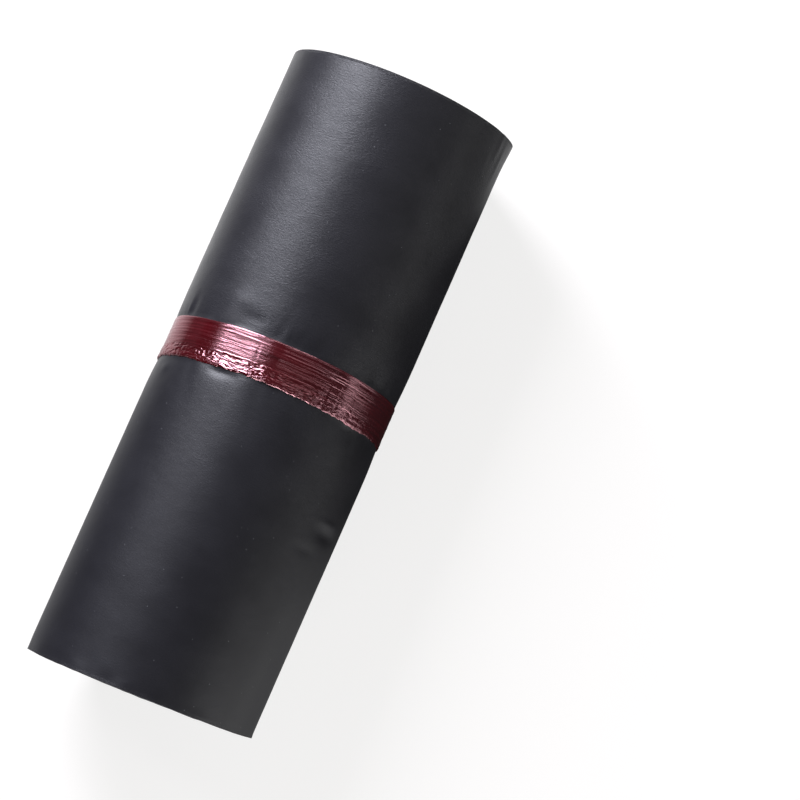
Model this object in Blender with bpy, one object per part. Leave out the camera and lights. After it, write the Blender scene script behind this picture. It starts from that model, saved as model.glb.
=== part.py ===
"""A roll of poly mailer bags, bound round its middle with thin tearing film.

A stack of flat bags is rolled as one thick strip. The strip starts at a thin
tip, curls round a small core, folds under the left lobe, runs over the
outside as the outer turn, folds again at the right lobe and tucks back in as
a thinner inner turn. The roll lies along X on its two lobes, and the plane
z = 0 is what it lies on. Section points are (y, z) from the section's centre.
"""

import math

import bmesh
import bpy
from mathutils.geometry import convex_hull_2d

# Driving sizes of the roll, in metres
BAG_WIDTH = 0.280
ROLL_WIDTH = 0.102
ROUND_HEIGHT = 0.102
STACK_THICKNESS = 0.0205
FLAP_THICKNESS = 0.0090
TAIL_THICKNESS = 0.0008

# Clear gaps between turns, and the small holes that the folds leave
TURN_GAP = 0.0007
LINER_SLIT = 0.0010
CORE_HOLE = 0.0014
LEFT_FOLD_HOLE = 0.0012
RIGHT_FOLD_HOLE = 0.0018

# Where the strip folds
CORE = (-0.0015, -0.0065)
LEFT_FOLD_ANGLE = math.radians(246.5)
RIGHT_FOLD_ANGLE = math.radians(-64.0)
TAIL_ANGLE = math.radians(200.0)
TAIL_BLEND = math.radians(16.0)
TIP_ANGLE = math.radians(-2.0)
TIP_BACKSET = math.radians(3.0)
RIGHT_LEG_END = math.radians(-15.0)

# Softness: how far the outline strays from round, and how far the lobes settle
OUTLINE_STRAY = 0.0005
SETTLE = 0.0006
REACH_ROUNDS = 40

# End faces: ridges of stacked bag edges, staggered and pushed out at the core
RIDGES_PER_TURN = 6
GROOVE_DEPTH = 0.0012
STAGGER = 0.0003
STAGGER_ANGLE = 2.4
CORE_PUSH = 0.0016
TURN_SHIFT = 0.0010
TURN_SHIFT_WAVES = 1.3
TURN_SHIFT_PHASE = 0.5
LOW_END_SKEW = 0.034
HIGH_END_SKEW = 0.013
RIDGE_SHARPNESS = math.radians(20.0)

# Binding film
FILM_WIDTH = 0.0187
FILM_THICKNESS = 0.0004
STRAND_HEIGHT = 0.0003
FILM_STRANDS = 5
FILM_X = 0.0025
FILM_SLANT_SIDE = -0.0009
FILM_SLANT_TOP = 0.0032
FILM_CLEARANCE = 0.0003
WAIST_DEPTH = 0.0014
WAIST_MARGIN = 0.0008
WAIST_SLOPE = 0.014
WAIST_SLOPE_STEPS = (1.0, 1 / 3, 0.0)

# Release liners of the bag flaps, seen as pale lines at the ends
LINER_COUNT = 4
LINER_THICKNESS = 0.0003
LINER_START = math.radians(-38.0)
LINER_ARC = math.radians(54.0)
LINER_PITCH = math.radians(59.0)
LINER_SETBACK = 0.0004
LINER_STEPS = 7

# Steps along each stretch of the strip
RIGHT_LEG_STEPS = 8
CORE_STEPS = 24
LEFT_FOLD_STEPS = 16
OUTER_TURN_STEPS = 46
RIGHT_FOLD_STEPS = 9
INNER_TURN_STEPS = 24


def polar(centre, radius, angle):
    """The point at a radius and an angle from a centre."""
    return (centre[0] + radius * math.cos(angle), centre[1] + radius * math.sin(angle))


def mix(a, b, share):
    """The number or point that lies share of the way from a to b."""
    if isinstance(a, tuple):
        return tuple(mix(p, q, share) for p, q in zip(a, b))
    return a + (b - a) * share


def angle_of(point, centre=(0.0, 0.0)):
    """The direction of a point from a centre."""
    return math.atan2(point[1] - centre[1], point[0] - centre[0])


def turn_share(angle):
    """0 where the outer turn leaves the left fold, 1 where it reaches the right fold."""
    notch = (LEFT_FOLD_ANGLE + RIGHT_FOLD_ANGLE - math.tau) / 2
    angle = (angle - notch) % math.tau + notch
    share = (LEFT_FOLD_ANGLE - angle) / (LEFT_FOLD_ANGLE - RIGHT_FOLD_ANGLE)
    return min(max(share, 0.0), 1.0)


def outer_radius(angle):
    """Radius of the roll's outside: an ellipse with a slight soft stray."""
    a, b = ROLL_WIDTH / 2, ROUND_HEIGHT / 2
    ellipse = a * b / math.hypot(b * math.cos(angle), a * math.sin(angle))
    return ellipse + OUTLINE_STRAY * (math.sin(3 * angle) + math.cos(4 * angle) / 2)


def outer_turn_thickness(angle):
    """Full stack on the left and over the top, thinning to the flap ends on the right."""
    late = max(0.0, turn_share(angle) * 2 - 1)
    return mix(STACK_THICKNESS, FLAP_THICKNESS, late**2)


def wall_radius(angle):
    """Radius of the outer turn's inner face."""
    return outer_radius(angle) - outer_turn_thickness(angle)


def reach(angle):
    """How far a ray from the core goes before it meets the outer turn."""
    length = wall_radius(angle)
    for _ in range(REACH_ROUNDS):
        point = polar(CORE, length, angle)
        length += wall_radius(angle_of(point)) - math.hypot(*point)
    return length


def fold_pivot(angle):
    """Middle of the gap inside the outer turn, where the strip folds round."""
    return polar((0.0, 0.0), wall_radius(angle) - TURN_GAP / 2, angle)


LEFT_FOLD = fold_pivot(LEFT_FOLD_ANGLE)
RIGHT_FOLD = fold_pivot(RIGHT_FOLD_ANGLE)
FOLD_TO_CORE = angle_of(CORE, LEFT_FOLD)
CORE_TO_FOLD = FOLD_TO_CORE + math.pi
INNER_TURN_START = angle_of(RIGHT_FOLD, CORE)


def inner_turn_thickness(angle):
    """The tucked-in turn tapers from the flap thickness to its thin tail."""
    share = (angle - INNER_TURN_START) / (TAIL_ANGLE - INNER_TURN_START)
    share = min(max(share, 0.0), 1.0)
    return mix(FLAP_THICKNESS, TAIL_THICKNESS, share**3)


def arch_radius(angle):
    """Outer radius of the arch round the core. It closes on the outer turn past the tail."""
    past_tail = min(max((angle - TAIL_ANGLE) / TAIL_BLEND, 0.0), 1.0)
    room = inner_turn_thickness(angle) + LINER_SLIT
    return reach(angle) - TURN_GAP - room * (1 - past_tail)


def left_lobe_radius(angle):
    """Radius of the left lobe about its fold, from the core side round to the outside."""
    start = math.dist(CORE, LEFT_FOLD) - CORE_HOLE
    end = STACK_THICKNESS + TURN_GAP / 2
    share = (FOLD_TO_CORE - angle) / (FOLD_TO_CORE - LEFT_FOLD_ANGLE + math.tau)
    return mix(start, end, share)


def fold_hole_radius(hole, share):
    """The inside of a fold swells from half the gap to a small hole and back."""
    return mix(TURN_GAP / 2, hole, math.sin(math.pi * share))


def slit_turn():
    """How far past square to the left fold's direction the slit runs into the core hole."""
    return math.asin((CORE_HOLE - TURN_GAP) / CORE_HOLE)


def right_leg():
    """From the thin tip up to the core: the slit on one side, the inner turn on the other."""
    along = CORE_HOLE * math.cos(slit_turn()) / math.dist(CORE, LEFT_FOLD)
    for step in range(RIGHT_LEG_STEPS):
        share = step / RIGHT_LEG_STEPS
        slit_angle = mix(TIP_ANGLE, FOLD_TO_CORE - along, share)
        arch_angle = mix(INNER_TURN_START + TIP_BACKSET, RIGHT_LEG_END, share)
        slit = polar(LEFT_FOLD, left_lobe_radius(slit_angle) + TURN_GAP, slit_angle)
        yield slit, polar(CORE, arch_radius(arch_angle), arch_angle), False


def core_arch():
    """Round the core, as far as the direction of the left fold."""
    hole_start = FOLD_TO_CORE - math.pi / 2 - slit_turn()
    for step in range(CORE_STEPS):
        share = step / CORE_STEPS
        hole = polar(CORE, CORE_HOLE, mix(hole_start, CORE_TO_FOLD, share))
        arch_angle = mix(RIGHT_LEG_END, CORE_TO_FOLD, share)
        yield hole, polar(CORE, arch_radius(arch_angle), arch_angle), False


def left_fold():
    """Clockwise round the left fold, which makes the left lobe."""
    end = LEFT_FOLD_ANGLE - math.tau
    for step in range(LEFT_FOLD_STEPS):
        share = step / LEFT_FOLD_STEPS
        angle = mix(FOLD_TO_CORE, end, share)
        inside = polar(LEFT_FOLD, fold_hole_radius(LEFT_FOLD_HOLE, share), angle)
        outside = polar(LEFT_FOLD, left_lobe_radius(angle), angle)
        yield outside, inside, angle < TIP_ANGLE


def outer_turn():
    """Clockwise over the outside, from the left fold to the right fold."""
    for step in range(OUTER_TURN_STEPS):
        angle = mix(LEFT_FOLD_ANGLE, RIGHT_FOLD_ANGLE, step / OUTER_TURN_STEPS)
        outside = polar((0.0, 0.0), outer_radius(angle), angle)
        yield outside, polar((0.0, 0.0), wall_radius(angle), angle), True


def right_fold():
    """Clockwise round the right fold, which makes the right lobe."""
    end = INNER_TURN_START - math.pi
    for step in range(RIGHT_FOLD_STEPS):
        share = step / RIGHT_FOLD_STEPS
        angle = mix(RIGHT_FOLD_ANGLE, end, share)
        inside = polar(RIGHT_FOLD, fold_hole_radius(RIGHT_FOLD_HOLE, share), angle)
        outside = polar(RIGHT_FOLD, FLAP_THICKNESS + TURN_GAP / 2, angle)
        yield outside, inside, angle > -math.pi


def inner_turn():
    """Back up and over the arch, tapering to the tail."""
    for step in range(INNER_TURN_STEPS + 1):
        angle = mix(INNER_TURN_START, TAIL_ANGLE, step / INNER_TURN_STEPS)
        wall = reach(angle) - TURN_GAP
        inside = polar(CORE, wall - inner_turn_thickness(angle), angle)
        yield inside, polar(CORE, wall, angle), False


def strip_section():
    """Cross-lines of the strip, in order: (slit or outside point, inner point, on the outside)."""
    lines = []
    for stretch in (right_leg, core_arch, left_fold, outer_turn, right_fold, inner_turn):
        lines.extend(stretch())
    lobe_bottom = LEFT_FOLD[1] - left_lobe_radius(-math.pi / 2)
    flap_bottom = RIGHT_FOLD[1] - FLAP_THICKNESS - TURN_GAP / 2
    floor = max(lobe_bottom, flap_bottom) + SETTLE
    return [((a[0], max(a[1], floor)), b, out) for a, b, out in lines], floor


def film_centre(point):
    """Where along X the slanted binding film crosses the outside at a section point."""
    side, top = point[0] / (ROLL_WIDTH / 2), point[1] / (ROUND_HEIGHT / 2)
    return FILM_X + FILM_SLANT_SIDE * side + FILM_SLANT_TOP * top


def pinched(point, inner, depth):
    """An outside point pressed in towards the inner point by a depth."""
    return mix(point, inner, depth / math.dist(point, inner))


def waist_column(point, inner):
    """Points along X at one place on the outside, down into the waist and out again."""
    slopes = [(FILM_WIDTH / 2 + WAIST_MARGIN + WAIST_SLOPE * t, (1 - t) ** 2) for t in WAIST_SLOPE_STEPS]
    sides = [(-offset, share) for offset, share in slopes] + slopes[::-1]
    middle = film_centre(point)
    return [(middle + offset, *pinched(point, inner, WAIST_DEPTH * share)) for offset, share in sides]


def end_shift(side, point, share):
    """How far a place on an end face is pushed along X, for share of the way along the strip."""
    core_distance = math.dist(point, CORE) / (ROLL_WIDTH / 2)
    dish = CORE_PUSH * (0.5 - min(core_distance, 1.0) ** 2)
    skew = (HIGH_END_SKEW if side > 0 else LOW_END_SKEW) * point[0]
    return dish - skew + TURN_SHIFT * math.sin(math.tau * TURN_SHIFT_WAVES * share + TURN_SHIFT_PHASE)


def ridge_height(column):
    """Height of an end-face column over the groove: each ridge is staggered a little."""
    if column % 2 == 0:
        return 0.0
    return GROOVE_DEPTH + STAGGER * math.sin(STAGGER_ANGLE * column)


def new_object(name, bm, material):
    """Closes a bmesh into a named object whose faces point out."""
    bmesh.ops.recalc_face_normals(bm, faces=bm.faces)
    mesh = bpy.data.meshes.new(name)
    bm.to_mesh(mesh)
    bm.free()
    mesh.materials.append(material)
    obj = bpy.data.objects.new(name, mesh)
    bpy.context.scene.collection.objects.link(obj)
    return obj


def add_wall(bm, columns):
    """Faces between neighbouring columns of vertices that run along X."""
    for first, second in zip(columns, columns[1:]):
        if len(first) == len(second):
            for k in range(len(first) - 1):
                bm.faces.new((first[k], first[k + 1], second[k + 1], second[k]))
        else:
            bm.faces.new(first + second[::-1])


def make_mailer_roll(section, floor, material):
    """The rolled stack of bags as one solid, with the edges of its layers at both ends."""
    bm = bmesh.new()
    last_column = 2 * RIDGES_PER_TURN
    end_rows = {-1: [], 1: []}
    walls = {"outer": [], "inner": []}
    for index, (outer, inner, outside) in enumerate(section):
        share = index / (len(section) - 1)
        for side, rows in end_rows.items():
            row = []
            for column in range(last_column + 1):
                y, z = mix(outer, inner, column / last_column)
                x = side * (BAG_WIDTH / 2 + ridge_height(column)) + end_shift(side, (y, z), share)
                row.append(bm.verts.new((x, y, z - floor)))
            rows.append(row)
        low, high = end_rows[-1][-1], end_rows[1][-1]
        waist = waist_column(outer, inner) if outside else []
        between = [bm.verts.new((x, y, z - floor)) for x, y, z in waist]
        walls["outer"].append([low[0], *between, high[0]])
        walls["inner"].append([low[-1], high[-1]])
    for rows in end_rows.values():
        add_wall(bm, rows)
    for columns in walls.values():
        add_wall(bm, columns)
    for tip in (0, -1):
        bm.faces.new(end_rows[-1][tip] + end_rows[1][tip][::-1])
    return new_object("mailer_roll", bm, material)


def film_loop(section):
    """Path of the film's inner face: tight over the lobes, straight across the notch."""
    waist = [pinched(a, b, WAIST_DEPTH) for a, b, outside in section if outside]
    return [waist[index] for index in convex_hull_2d(waist)]


def offset_loop(loop, distance):
    """The loop moved outwards by a distance, each side staying parallel."""
    moved = []
    for before, here, after in zip(loop[-1:] + loop[:-1], loop, loop[1:] + loop[:1]):
        first, second = angle_of(here, before), angle_of(after, here)
        half_turn = ((second - first + math.pi) % math.tau - math.pi) / 2
        outward = first + half_turn - math.pi / 2
        moved.append(polar(here, distance / math.cos(half_turn), outward))
    return moved


def film_profile():
    """The film's cross-section as (offset along X, height over its inner face)."""
    count = 2 * FILM_STRANDS
    top = []
    for k in range(count + 1):
        strand = STRAND_HEIGHT if k % 2 else 0.0
        top.append((FILM_WIDTH * (k / count - 0.5), FILM_THICKNESS + strand))
    return [(-FILM_WIDTH / 2, 0.0), *top, (FILM_WIDTH / 2, 0.0)]


def make_binding_film(section, floor, material):
    """The tearing film wound round the waist, gathered into low strands."""
    bm = bmesh.new()
    loop = film_loop(section)
    rings = []
    for along, height in film_profile():
        ring = []
        for on_roll, place in zip(loop, offset_loop(loop, FILM_CLEARANCE + height)):
            x = film_centre(on_roll) + along
            ring.append(bm.verts.new((x, place[0], place[1] - floor)))
        rings.append(ring + ring[:1])
    add_wall(bm, rings + rings[:1])
    return new_object("binding_film", bm, material)


def make_release_liner(number, floor, material):
    """One peel-off strip, lying in the slit between the arch and the inner turn."""
    bm = bmesh.new()
    start = LINER_START + number * LINER_PITCH
    rings = []
    for step in range(LINER_STEPS + 1):
        angle = start + LINER_ARC * step / LINER_STEPS
        under = arch_radius(angle) + (LINER_SLIT - LINER_THICKNESS) / 2
        ring = []
        for radius in (under, under + LINER_THICKNESS):
            y, z = polar(CORE, radius, angle)
            for side in (-1, 1):
                x = side * (BAG_WIDTH / 2 - LINER_SETBACK) + end_shift(side, (y, z), 0.0)
                ring.append(bm.verts.new((x, y, z - floor)))
        rings.append([ring[0], ring[1], ring[3], ring[2], ring[0]])
    add_wall(bm, rings)
    for ring in (rings[0], rings[-1]):
        bm.faces.new(ring[:4])
    return new_object(f"release_liner_{number + 1}", bm, material)


def new_material(name, colour, roughness):
    """A plain plastic finish."""
    material = bpy.data.materials.new(name)
    material.use_nodes = True
    shader = material.node_tree.nodes["Principled BSDF"]
    shader.inputs["Base Color"].default_value = (*colour, 1.0)
    shader.inputs["Roughness"].default_value = roughness
    shader.inputs["Metallic"].default_value = 0.0
    return material


def main():
    for obj in list(bpy.data.objects):
        bpy.data.objects.remove(obj)
    section, floor = strip_section()
    black_film = new_material("black_film", (0.022, 0.022, 0.026), 0.42)
    red_film = new_material("red_film", (0.30, 0.012, 0.03), 0.2)
    liner_film = new_material("liner_film", (0.55, 0.55, 0.55), 0.35)
    roll = make_mailer_roll(section, floor, black_film)
    roll.data.shade_smooth()
    roll.data.set_sharp_from_angle(angle=RIDGE_SHARPNESS)
    make_binding_film(section, floor, red_film)
    for number in range(LINER_COUNT):
        make_release_liner(number, floor, liner_film)


main()
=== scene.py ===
"""The looks of a roll of poly mailer bags, bound round its middle with red tearing film.

The strip of stacked bags is drawn again on the solid's own section, with a crinkled skin and fine
layer edges at both ends. Section points are (y, z) from the section's centre. The skin is made in
two halves, which meet under the film.
"""

import math

import bpy
import numpy as np
from mathutils import Matrix, Vector
from mathutils.geometry import convex_hull_2d


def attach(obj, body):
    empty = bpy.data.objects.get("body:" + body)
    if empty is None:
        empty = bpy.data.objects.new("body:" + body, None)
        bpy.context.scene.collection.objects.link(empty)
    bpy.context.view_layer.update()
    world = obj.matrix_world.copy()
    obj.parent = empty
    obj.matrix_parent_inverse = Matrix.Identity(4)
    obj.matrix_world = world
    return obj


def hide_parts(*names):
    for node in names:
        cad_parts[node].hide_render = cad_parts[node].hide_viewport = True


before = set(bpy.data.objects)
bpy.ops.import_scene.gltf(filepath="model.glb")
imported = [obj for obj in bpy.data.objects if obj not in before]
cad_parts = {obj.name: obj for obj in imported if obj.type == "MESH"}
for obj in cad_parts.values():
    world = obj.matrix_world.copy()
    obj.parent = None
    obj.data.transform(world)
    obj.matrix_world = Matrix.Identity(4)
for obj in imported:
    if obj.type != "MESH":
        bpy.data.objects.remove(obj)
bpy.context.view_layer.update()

# Driving sizes of the roll, in metres, as the solid has them
BAG_WIDTH = 0.280
ROLL_WIDTH = 0.102
ROUND_HEIGHT = 0.102
STACK_THICKNESS = 0.0205
FLAP_THICKNESS = 0.0090
TAIL_THICKNESS = 0.0008
TURN_GAP = 0.0007
LINER_SLIT = 0.0010
CORE_HOLE = 0.0014
LEFT_FOLD_HOLE = 0.0012
RIGHT_FOLD_HOLE = 0.0018

# Where the strip folds
CORE = (-0.0015, -0.0065)
LEFT_FOLD_ANGLE = math.radians(246.5)
RIGHT_FOLD_ANGLE = math.radians(-64.0)
TAIL_ANGLE = math.radians(200.0)
TAIL_BLEND = math.radians(16.0)
TIP_ANGLE = math.radians(-2.0)
TIP_BACKSET = math.radians(3.0)
RIGHT_LEG_END = math.radians(-15.0)
OUTLINE_STRAY = 0.0005
SETTLE = 0.0006
REACH_ROUNDS = 40

# How the ends are pushed along X
CORE_PUSH = 0.0016
TURN_SHIFT = 0.0010
TURN_SHIFT_WAVES = 1.3
TURN_SHIFT_PHASE = 0.5
LOW_END_SKEW = 0.034
HIGH_END_SKEW = 0.013

# Binding film, and the shallow waist that it pulls into the skin
FILM_WIDTH = 0.0187
FILM_X = 0.0025
FILM_SLANT_SIDE = -0.0009
FILM_SLANT_TOP = 0.0032
FILM_CLEARANCE = 0.00010
WAIST_DEPTH = 0.0004
WAIST_MARGIN = 0.0008
WAIST_SLOPE = 0.014

# Release liners
LINER_COUNT = 4
LINER_START = math.radians(-38.0)
LINER_ARC = math.radians(54.0)
LINER_PITCH = math.radians(59.0)

# Steps along each stretch of the strip, across it, and along the skin
RIGHT_LEG_STEPS = 20
CORE_STEPS = 70
LEFT_FOLD_STEPS = 96
OUTER_TURN_STEPS = 226
RIGHT_FOLD_STEPS = 46
INNER_TURN_STEPS = 92
LAYERS = 45
SKIN_STEPS = 148
NOISE_CELLS = 128


def polar(centre, radius, angle):
    """The point at a radius and an angle from a centre."""
    return (centre[0] + radius * math.cos(angle), centre[1] + radius * math.sin(angle))


def mix(a, b, share):
    """The number or point that lies share of the way from a to b."""
    if isinstance(a, tuple):
        return tuple(mix(p, q, share) for p, q in zip(a, b))
    return a + (b - a) * share


def angle_of(point, centre=(0.0, 0.0)):
    """The direction of a point from a centre."""
    return math.atan2(point[1] - centre[1], point[0] - centre[0])


def turn_share(angle):
    """0 where the outer turn leaves the left fold, 1 where it reaches the right fold."""
    notch = (LEFT_FOLD_ANGLE + RIGHT_FOLD_ANGLE - math.tau) / 2
    angle = (angle - notch) % math.tau + notch
    share = (LEFT_FOLD_ANGLE - angle) / (LEFT_FOLD_ANGLE - RIGHT_FOLD_ANGLE)
    return min(max(share, 0.0), 1.0)


def outer_radius(angle):
    """Radius of the roll's outside: an ellipse with a slight soft stray."""
    a, b = ROLL_WIDTH / 2, ROUND_HEIGHT / 2
    ellipse = a * b / math.hypot(b * math.cos(angle), a * math.sin(angle))
    return ellipse + OUTLINE_STRAY * (math.sin(3 * angle) + math.cos(4 * angle) / 2)


def outer_turn_thickness(angle):
    """Full stack on the left and over the top, thinning to the flap ends on the right."""
    late = max(0.0, turn_share(angle) * 2 - 1)
    return mix(STACK_THICKNESS, FLAP_THICKNESS, late**2)


def wall_radius(angle):
    """Radius of the outer turn's inner face."""
    return outer_radius(angle) - outer_turn_thickness(angle)


def reach(angle):
    """How far a ray from the core goes before it meets the outer turn."""
    length = wall_radius(angle)
    for _ in range(REACH_ROUNDS):
        point = polar(CORE, length, angle)
        length += wall_radius(angle_of(point)) - math.hypot(*point)
    return length


def fold_pivot(angle):
    """Middle of the gap inside the outer turn, where the strip folds round."""
    return polar((0.0, 0.0), wall_radius(angle) - TURN_GAP / 2, angle)


LEFT_FOLD = fold_pivot(LEFT_FOLD_ANGLE)
RIGHT_FOLD = fold_pivot(RIGHT_FOLD_ANGLE)
FOLD_TO_CORE = angle_of(CORE, LEFT_FOLD)
CORE_TO_FOLD = FOLD_TO_CORE + math.pi
INNER_TURN_START = angle_of(RIGHT_FOLD, CORE)


def inner_turn_thickness(angle):
    """The tucked-in turn tapers from the flap thickness to its thin tail."""
    share = (angle - INNER_TURN_START) / (TAIL_ANGLE - INNER_TURN_START)
    share = min(max(share, 0.0), 1.0)
    return mix(FLAP_THICKNESS, TAIL_THICKNESS, share**3)


def arch_radius(angle):
    """Outer radius of the arch round the core. It closes on the outer turn past the tail."""
    past_tail = min(max((angle - TAIL_ANGLE) / TAIL_BLEND, 0.0), 1.0)
    room = inner_turn_thickness(angle) + LINER_SLIT
    return reach(angle) - TURN_GAP - room * (1 - past_tail)


def left_lobe_radius(angle):
    """Radius of the left lobe about its fold, from the core side round to the outside."""
    start = math.dist(CORE, LEFT_FOLD) - CORE_HOLE
    end = STACK_THICKNESS + TURN_GAP / 2
    share = (FOLD_TO_CORE - angle) / (FOLD_TO_CORE - LEFT_FOLD_ANGLE + math.tau)
    return mix(start, end, share)


def fold_hole_radius(hole, share):
    """The inside of a fold swells from half the gap to a small hole and back."""
    return mix(TURN_GAP / 2, hole, math.sin(math.pi * share))


def slit_turn():
    """How far past square to the left fold's direction the slit runs into the core hole."""
    return math.asin((CORE_HOLE - TURN_GAP) / CORE_HOLE)


def right_leg():
    """From the thin tip up to the core: the slit on one side, the inner turn on the other."""
    along = CORE_HOLE * math.cos(slit_turn()) / math.dist(CORE, LEFT_FOLD)
    for step in range(RIGHT_LEG_STEPS):
        share = step / RIGHT_LEG_STEPS
        slit_angle = mix(TIP_ANGLE, FOLD_TO_CORE - along, share)
        arch_angle = mix(INNER_TURN_START + TIP_BACKSET, RIGHT_LEG_END, share)
        slit = polar(LEFT_FOLD, left_lobe_radius(slit_angle) + TURN_GAP, slit_angle)
        yield slit, polar(CORE, arch_radius(arch_angle), arch_angle), False


def core_arch():
    """Round the core, as far as the direction of the left fold."""
    hole_start = FOLD_TO_CORE - math.pi / 2 - slit_turn()
    for step in range(CORE_STEPS):
        share = step / CORE_STEPS
        hole = polar(CORE, CORE_HOLE, mix(hole_start, CORE_TO_FOLD, share))
        arch_angle = mix(RIGHT_LEG_END, CORE_TO_FOLD, share)
        yield hole, polar(CORE, arch_radius(arch_angle), arch_angle), False


def left_fold():
    """Clockwise round the left fold, which makes the left lobe."""
    end = LEFT_FOLD_ANGLE - math.tau
    for step in range(LEFT_FOLD_STEPS):
        share = step / LEFT_FOLD_STEPS
        angle = mix(FOLD_TO_CORE, end, share)
        inside = polar(LEFT_FOLD, fold_hole_radius(LEFT_FOLD_HOLE, share), angle)
        outside = polar(LEFT_FOLD, left_lobe_radius(angle), angle)
        yield outside, inside, angle < TIP_ANGLE


def outer_turn():
    """Clockwise over the outside, from the left fold to the right fold."""
    for step in range(OUTER_TURN_STEPS):
        angle = mix(LEFT_FOLD_ANGLE, RIGHT_FOLD_ANGLE, step / OUTER_TURN_STEPS)
        outside = polar((0.0, 0.0), outer_radius(angle), angle)
        yield outside, polar((0.0, 0.0), wall_radius(angle), angle), True


def right_fold():
    """Clockwise round the right fold, which makes the right lobe."""
    end = INNER_TURN_START - math.pi
    for step in range(RIGHT_FOLD_STEPS):
        share = step / RIGHT_FOLD_STEPS
        angle = mix(RIGHT_FOLD_ANGLE, end, share)
        inside = polar(RIGHT_FOLD, fold_hole_radius(RIGHT_FOLD_HOLE, share), angle)
        outside = polar(RIGHT_FOLD, FLAP_THICKNESS + TURN_GAP / 2, angle)
        yield outside, inside, angle > -math.pi


def inner_turn():
    """Back up and over the arch, tapering to the tail."""
    for step in range(INNER_TURN_STEPS + 1):
        angle = mix(INNER_TURN_START, TAIL_ANGLE, step / INNER_TURN_STEPS)
        wall = reach(angle) - TURN_GAP
        inside = polar(CORE, wall - inner_turn_thickness(angle), angle)
        yield inside, polar(CORE, wall, angle), False


def floor_level():
    """Height of the resting plane in the section: the lobes settle a little on it."""
    lobe_bottom = LEFT_FOLD[1] - left_lobe_radius(-math.pi / 2)
    flap_bottom = RIGHT_FOLD[1] - FLAP_THICKNESS - TURN_GAP / 2
    return max(lobe_bottom, flap_bottom) + SETTLE


# The height of the floor, and how softly the roll's underside bends on to it
FLOOR = floor_level()
FLOOR_SOFTNESS = 0.00045


def rested(z):
    """Heights in the section once the roll has settled: what is under the floor is pushed up to it."""
    return FLOOR + FLOOR_SOFTNESS * np.logaddexp(0.0, (z - FLOOR) / FLOOR_SOFTNESS)


def smooth_noise(u, v, seed, wrap=NOISE_CELLS):
    """Soft random numbers from -1 to 1 over a plane, one bump a unit. They repeat after wrap along u."""
    table = np.random.default_rng(seed).uniform(-1, 1, (wrap, NOISE_CELLS))
    u, v = np.broadcast_arrays(u, v)
    iu, iv = np.floor(u).astype(int), np.floor(v).astype(int)
    fu, fv = (f * f * f * (f * (6 * f - 15) + 10) for f in (u - iu, v - iv))
    u0, u1, v0, v1 = iu % wrap, (iu + 1) % wrap, iv % NOISE_CELLS, (iv + 1) % NOISE_CELLS
    low = table[u0, v0] * (1 - fu) + table[u1, v0] * fu
    high = table[u0, v1] * (1 - fu) + table[u1, v1] * fu
    return low * (1 - fv) + high * fv


def layered_noise(u, v, seed, octaves=3):
    """Soft noise with finer, weaker noise on top."""
    total = 0.0
    for k in range(octaves):
        total = total + smooth_noise(u * 2**k, v * 2**k, seed + k) / 2**k
    return total


def film_centre(y, z):
    """Where along X the slanted binding film crosses the outside at a section point."""
    return FILM_X + FILM_SLANT_SIDE * y / (ROLL_WIDTH / 2) + FILM_SLANT_TOP * z / (ROUND_HEIGHT / 2)


def end_shift(side, y, z, share):
    """How far a place on an end face is pushed along X, for share of the way along the strip."""
    core_distance = np.hypot(y - CORE[0], z - CORE[1]) / (ROLL_WIDTH / 2)
    dish = CORE_PUSH * (0.5 - np.minimum(core_distance, 1.0) ** 2)
    skew = (HIGH_END_SKEW if side > 0 else LOW_END_SKEW) * y
    return dish - skew + TURN_SHIFT * np.sin(math.tau * TURN_SHIFT_WAVES * share + TURN_SHIFT_PHASE)


class Strip:
    """The strip's section as arrays: outer and inner points, outward normals, lengths along it."""

    def __init__(self):
        lines = []
        for stretch in (right_leg, core_arch, left_fold, outer_turn, right_fold, inner_turn):
            lines.extend(stretch())
        self.outer = np.array([a for a, b, out in lines])
        self.outer[:, 1] = rested(self.outer[:, 1])
        self.inner = np.array([b for a, b, out in lines])
        self.outside = np.array([out for a, b, out in lines])
        self.share = np.linspace(0, 1, len(lines))
        along = np.gradient(self.outer, axis=0)
        along /= np.linalg.norm(along, axis=1)[:, None]
        self.normal = np.stack([-along[:, 1], along[:, 0]], 1)
        self.length = self.length_along(self.outer)
        self.middle_length = self.length_along((self.outer + self.inner) / 2)
        self.angle = np.degrees(np.arctan2(self.outer[:, 1], self.outer[:, 0])) % 360

    @staticmethod
    def length_along(points):
        """Length from the first point to each point of a line."""
        steps = np.linalg.norm(np.diff(points, axis=0), axis=1)
        return np.concatenate([[0.0], np.cumsum(steps)])


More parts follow.
